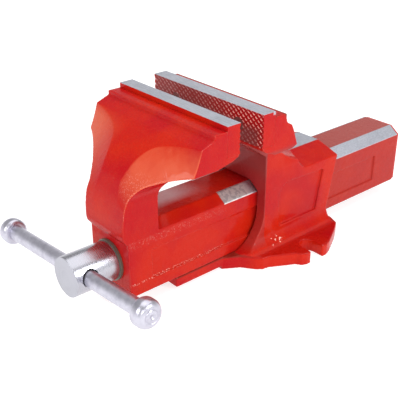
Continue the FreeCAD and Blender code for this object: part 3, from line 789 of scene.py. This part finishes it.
def soften(piece, chosen, steps):
    """Rounds the edges of a fine mesh at the chosen vertices."""
    group = piece.vertex_groups.new(name="soft")
    group.add(chosen, 1.0, "REPLACE")
    smooth = piece.modifiers.new("soften", "SMOOTH")
    smooth.vertex_group = group.name
    smooth.iterations = steps
    smooth.factor = 0.5
    apply_modifiers(piece)
    piece.vertex_groups.clear()


def away_from(plate, vertices):
    """The vertices that aren't beside a jaw plate, whose seat stays crisp so that the seam is fine."""
    low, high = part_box(plate)
    reach = SEAT_REACH * MM
    chosen = []
    for v in vertices:
        beside = all(low[i] - reach < v.co[i] < high[i] + reach for i in range(3))
        if not beside:
            chosen.append(v.index)
    return chosen


def cast_piece(node, body, plate):
    """A casting with soft edges: the CAD solid on a fine even mesh, smoothed away from its jaw plate."""
    mesh = NODES[node].data.copy()
    mesh.materials.clear()
    piece = add_object(f"{node}_casting", mesh, body, node)
    remesh = piece.modifiers.new("even", "REMESH")
    remesh.mode = "VOXEL"
    remesh.voxel_size = VOXEL * MM
    remesh.adaptivity = 0.0
    apply_modifiers(piece)
    soften(piece, away_from(plate, piece.data.vertices), SOFT_STEPS)
    piece.data.shade_smooth()
    return piece


def front_casting():
    """The front jaw and slide."""
    piece = cast_piece("moving_jaw", "slide", "front_jaw_plate")
    piece.data.materials.append(slide_material())


def fixed_casting():
    """The fixed body, whose flange and foot are rounder than the rest."""
    piece = cast_piece("static_body", "base", "rear_jaw_plate")
    low, high = FLANGE_ZONE_Z
    zone = [v.index for v in piece.data.vertices if low * MM < v.co.z < high * MM]
    soften(piece, zone, FLANGE_SOFT_STEPS)
    piece.data.materials.append(body_material())


# ---------------------------------------------------------------- jaw plates


def tooth_counts(node):
    """How many half teeth fit along and up a plate."""
    low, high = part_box(node)
    columns = 2 * round((high.x - low.x) / (TOOTH_WIDE * MM))
    rows = 2 * round((high.z - low.z) / (TOOTH_TALL * MM))
    return columns, rows


def serrated_block(node, into):
    """A block as large as the plate whose gripping face is rows of blunt four-sided points."""
    low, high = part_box(node)
    face_y = low.y if into > 0 else high.y
    back_y = high.y if into > 0 else low.y
    columns, rows = tooth_counts(node)
    step_x = (high.x - low.x) / columns
    step_z = (high.z - low.z) / rows
    groove_y = face_y + into * TOOTH_DEEP * MM
    bm = bmesh.new()
    lattice = {}
    for i in range(columns + 1):
        for j in range(rows + 1):
            is_tip = (i + j) % 2 == 1 or j in (0, rows)
            y = face_y if is_tip else groove_y
            lattice[i, j] = bm.verts.new((low.x + i * step_x, y, low.z + j * step_z))
    for i in range(columns):
        for j in range(rows):
            a, b = lattice[i, j], lattice[i + 1, j]
            c, d = lattice[i + 1, j + 1], lattice[i, j + 1]
            if (i + j) % 2 == 1:
                bm.faces.new((a, b, d))
                bm.faces.new((b, c, d))
            else:
                bm.faces.new((a, b, c))
                bm.faces.new((a, c, d))
    edge = [lattice[i, 0] for i in range(columns)]
    edge += [lattice[columns, j] for j in range(rows)]
    edge += [lattice[i, rows] for i in range(columns, 0, -1)]
    edge += [lattice[0, j] for j in range(rows, 0, -1)]
    back = [bm.verts.new((v.co.x, back_y, v.co.z)) for v in edge]
    for k in range(len(edge)):
        after = (k + 1) % len(edge)
        bm.faces.new((edge[k], edge[after], back[after], back[k]))
    bm.faces.new(back)
    bmesh.ops.recalc_face_normals(bm, faces=bm.faces)
    mesh = bpy.data.meshes.new("serrations")
    bm.to_mesh(mesh)
    bm.free()
    return mesh


def jaw_plate_piece(node, body, into):
    """The CAD plate with its screw holes, its gripping face cut into blunt points.

    into is the way along Y from the gripping face into the plate, 1 or -1.
    """
    mesh = NODES[node].data.copy()
    mesh.materials.clear()
    piece = add_object(f"{node}_serrated", mesh, body, node)
    boolean(piece, spare_object("cutter", serrated_block(node, into)), "INTERSECT")
    piece.data.materials.clear()
    piece.data.materials.append(jaw_plate_material(node, into))
    smooth_by_angle(piece.data, 12)


# ---------------------------------------------------------------- screw and handle


def helix_into(bm, axis_z):
    """A right-hand trapezoid thread along Y, its rings joined one turn on where they meet."""
    crest_end = THREAD_FLANK + THREAD_CREST
    profile = [
        (0.0, THREAD_ROOT_R),
        (THREAD_FLANK, JOURNAL_R),
        (crest_end, JOURNAL_R),
        (crest_end + THREAD_FLANK, THREAD_ROOT_R),
    ]
    end_y = THREAD_FROM_Y + THREAD_TURNS * THREAD_PITCH
    rows = []
    for turn in range(-1, THREAD_TURNS + 1):
        for offset, radius in profile:
            row = []
            for k in range(THREAD_STEPS):
                part = k / THREAD_STEPS
                y = THREAD_FROM_Y + (turn + part) * THREAD_PITCH + offset
                angle = 2 * math.pi * part
                inside = THREAD_FROM_Y < y < end_y
                r = radius * MM if inside else THREAD_ROOT_R * MM
                y = min(max(y, THREAD_FROM_Y), end_y)
                place = (r * math.cos(angle), y * MM, axis_z + r * math.sin(angle))
                row.append(bm.verts.new(place))
            rows.append(row)
    ahead = len(profile)
    for index in range(len(rows) - 1):
        near, far = rows[index], rows[index + 1]
        for k in range(THREAD_STEPS - 1):
            bm.faces.new((near[k], far[k], far[k + 1], near[k + 1]))
        if index + ahead + 1 < len(rows):
            bm.faces.new((near[-1], far[-1], rows[index + ahead + 1][0], rows[index + ahead][0]))


def spindle_piece():
    """The turned head with its cross hole, the journal and the helical thread."""
    low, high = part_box("spindle")
    axis_z = (low.z + high.z) / 2
    start = Vector((0, low.y, axis_z))
    long = THREAD_FROM_Y - low.y / MM + 1.0
    profile = [
        (0.0, 0.0),
        *arc_points(HEAD_RIM, HEAD_R - HEAD_RIM, HEAD_RIM, HEAD_RIM, 180, 90, 4),
        *arc_points(HEAD_LONG - HEAD_RIM, HEAD_R - HEAD_RIM, HEAD_RIM, HEAD_RIM, 90, 0, 4),
        (HEAD_LONG, JOURNAL_R),
        (long, JOURNAL_R),
        (long, 0.0),
    ]
    mesh = lathe(profile, start, Vector((0, 1, 0)), 128)
    piece = add_object("spindle_turned", mesh, "screw", "spindle")
    along = Vector(JOINTS["bar_slide"]["axis"])
    bar_low, bar_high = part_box("tommy_bar")
    middle = Vector((0, (bar_low.y + bar_high.y) / 2, axis_z + CROSS_HOLE_LIFT * MM))
    length = 2 * CROSS_HOLE_REACH
    drill = [(0.0, 0.0), (0.0, CROSS_HOLE_R), (length, CROSS_HOLE_R), (length, 0.0)]
    hole = lathe(drill, middle - along * CROSS_HOLE_REACH * MM, along, 64)
    boolean(piece, spare_object("cutter", hole), "DIFFERENCE")
    bm = bmesh.new()
    bm.from_mesh(piece.data)
    helix_into(bm, axis_z)
    bm.to_mesh(piece.data)
    bm.free()
    smooth_by_angle(piece.data, 25)
    piece.data.materials.clear()
    piece.data.materials.append(turned_material("spindle_steel", TURNED, TURNED_DARK))


def bar_piece(material):
    """The tommy bar, a plain polished rod between the knobs."""
    along = Vector(JOINTS["bar_slide"]["axis"])
    low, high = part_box("tommy_bar")
    radius = (high.y - low.y) / 2 / MM
    middle = (low + high) / 2
    long = ((high.x - low.x) / MM - 2 * radius * along.z) / along.x
    profile = [(0.0, 0.0), (0.0, radius), (long, radius), (long, 0.0)]
    mesh = lathe(profile, middle - along * (long / 2) * MM, along, 64)
    piece = add_object("tommy_bar_rod", mesh, "handle", "tommy_bar")
    smooth_by_angle(piece.data, 30)
    piece.data.materials.append(material)


def knob_piece(node, outward, material):
    """A round-edged button with a ring groove and a centre dimple in its outer face."""
    along = Vector(JOINTS["bar_slide"]["axis"]) * outward
    low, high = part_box(node)
    middle = (low + high) / 2
    centre = middle - along * (KNOB_OUTWARD - KNOB_INWARD) / 2 * MM
    long, tall = KNOB_INNER_ROUND
    inner = arc_points(long - KNOB_INWARD, KNOB_R - tall, long, tall, 180, 90, 8)
    long, tall = KNOB_OUTER_ROUND
    outer = arc_points(KNOB_RIM_TO, KNOB_R - tall, long, tall, 90, 12, 12)
    groove = [(7.75, 6.6), (7.45, 6.2), (7.45, 5.8), (7.85, 5.4), (8.15, 4.4)]
    dimple = [(8.45, 2.8), (8.2, 2.0), (7.5, 1.3), (7.2, 0.0)]
    profile = [(-KNOB_INWARD, 0.0), *inner, *outer, *groove, *dimple]
    mesh = lathe(profile, centre, along, 96)
    piece = add_object(f"{node}_turned", mesh, "handle", node)
    smooth_by_angle(piece.data, 40)
    piece.data.materials.append(material)


# ---------------------------------------------------------------- assembly


def clothe_cad_nodes(satin):
    """Gives every CAD node the metal of its slot, with painted plate screws and an oily thrust washer."""
    metals = {
        "screw_steel": machined("black_oxide", OXIDE, OXIDE_DARK, (0.35, 0.5)),
        "nut_iron": machined("oiled_iron", IRON, IRON_DARK, (0.35, 0.55)),
        "zinc_steel": machined("zinc_plate", ZINC, ZINC_DARK, (0.3, 0.45)),
        "bronze": machined("turned_bronze", BRONZE, BRONZE_DARK, (0.25, 0.4)),
        "spindle_steel": machined("turned_steel", STEEL, STEEL_DARK, (0.2, 0.35), (1, 4, 1)),
        "slide_enamel": cover_material(),
    }
    painted = machined("painted_screw", PAINTED_SCREW, PAINTED_SCREW_DARK, (0.4, 0.55), metallic=0.3)
    oiled = machined("oiled_washer", OILY_GREY, OILY_DARK, (0.35, 0.5), metallic=0.6)
    for part in frame["record"]["subparts"]:
        name = part["node"]
        material = metals.get(part["material_slot"], satin)
        if "plate_screw" in name:
            material = painted
        if name == "thrust_washer":
            material = oiled
        NODES[name].data.materials.clear()
        NODES[name].data.materials.append(material)


bpy.context.scene.view_settings.view_transform = "Standard"
add_camera()
add_world()
add_softbox("key", (1.35, 0.30, 0.85), (0, 0, 0.08), 0.45, 0.45, 11.5)
add_softbox("right", (1.3, -0.9, 0.7), (0, 0, 0.08), 0.5, 0.4, 4)
add_softbox("front", (0.0, -1.45, 0.85), (0, 0, 0.08), 0.6, 0.5, 9)
add_softbox("top", (-0.1, 0.3, 1.9), (0, 0, 0.1), 2.4, 2.4, 24)
add_floor()

front_casting()
fixed_casting()
jaw_plate_piece("rear_jaw_plate", "base", 1)
jaw_plate_piece("front_jaw_plate", "slide", -1)
spindle_piece()
bar_satin = machined("bar_satin", CHROME, CHROME_DIM, (0.34, 0.42), size=5.0)
knob_chrome = machined("knob_chrome", CHROME, CHROME_DIM, (0.30, 0.36), size=8.0)
bar_piece(bar_satin)
knob_piece("handle_knob_left", -1, knob_chrome)
knob_piece("handle_knob_right", 1, knob_chrome)
clothe_cad_nodes(bar_satin)
